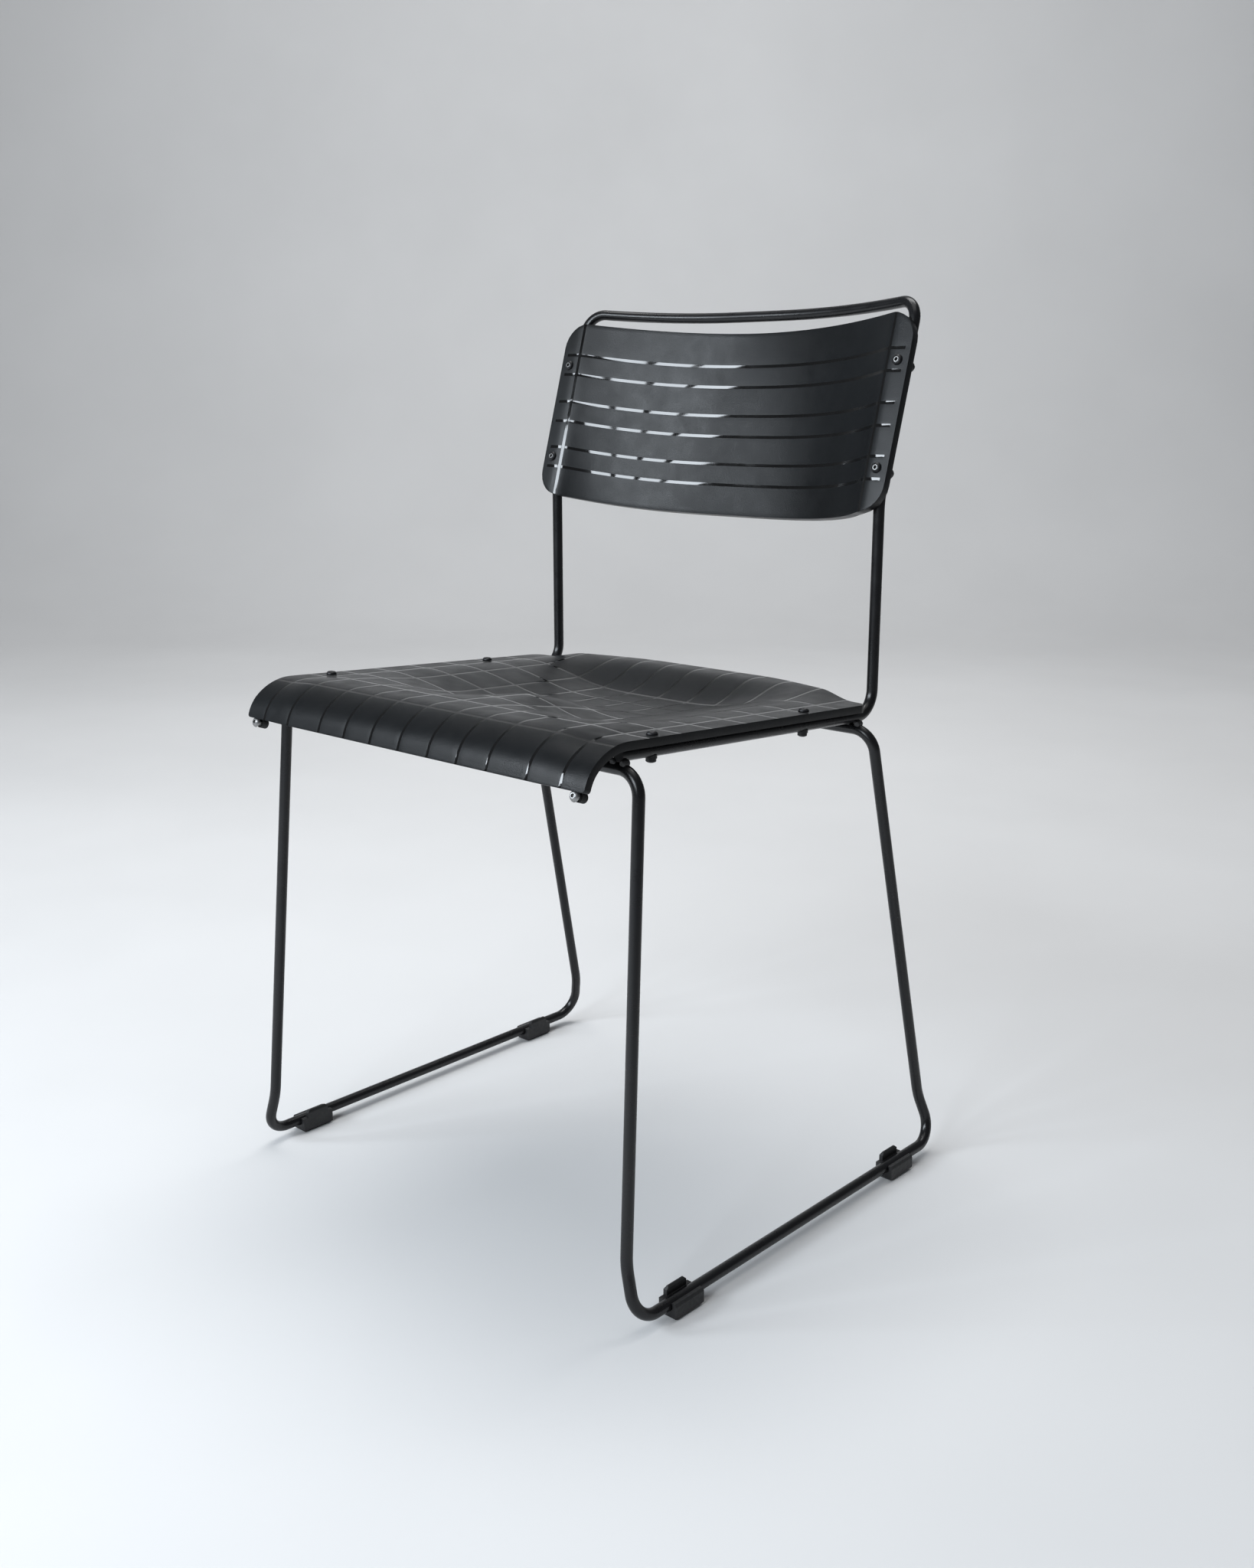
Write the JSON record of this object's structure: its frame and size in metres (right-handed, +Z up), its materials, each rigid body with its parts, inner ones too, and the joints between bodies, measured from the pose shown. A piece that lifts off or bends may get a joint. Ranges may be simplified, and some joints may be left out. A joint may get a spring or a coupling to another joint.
{
  "type": "stacking chair",
  "caption": "Side chair on a sled base of bent round rod, with a dished plastic seat, a bowed plastic back and a hand-hold bar above it; stacks on others of its kind.",
  "frame": {"origin": "on the floor, in the middle of the chair's width and depth", "axes": "+Z up, -Y the way a sitter faces, +X the sitter's left-hand side"},
  "size_m": [0.506, 0.4706, 0.8005],
  "materials": {
    "rod_coating": "black powder coat, fine texture, semi-matt",
    "weld_coating": "weld bead under the same black powder coat",
    "panel_plastic": "black moulded plastic, fine satin texture crossed by narrow glossy lines",
    "screw_steel": "black-oxidised button-head screw, worn bright at the socket's rim",
    "bright_screw_steel": "bright zinc-plated screw head",
    "nut_steel": "black cap nuts and saddle washers",
    "buffer_rubber": "black rubber, matt",
    "glide_plastic": "black nylon, matt, scuffed at the sole"
  },
  "bodies": {
    "root": {"sled_base": "rod_coating", "back_frame": "rod_coating", "front_rail_welds": "weld_coating", "rear_rail_welds": "weld_coating", "seat_panel": "panel_plastic", "back_panel": "panel_plastic", "seat_screws": "screw_steel", "back_screws": "screw_steel", "lip_buffer_screws": "bright_screw_steel", "seat_saddle_washers": "nut_steel", "back_saddle_washers": "nut_steel", "seat_cap_nuts": "nut_steel", "back_cap_nuts": "nut_steel", "left_lip_buffer": "buffer_rubber", "right_lip_buffer": "buffer_rubber", "front_left_glide": "glide_plastic", "front_right_glide": "glide_plastic", "rear_left_glide": "glide_plastic", "rear_right_glide": "glide_plastic"}
  },
  "joints": []
}
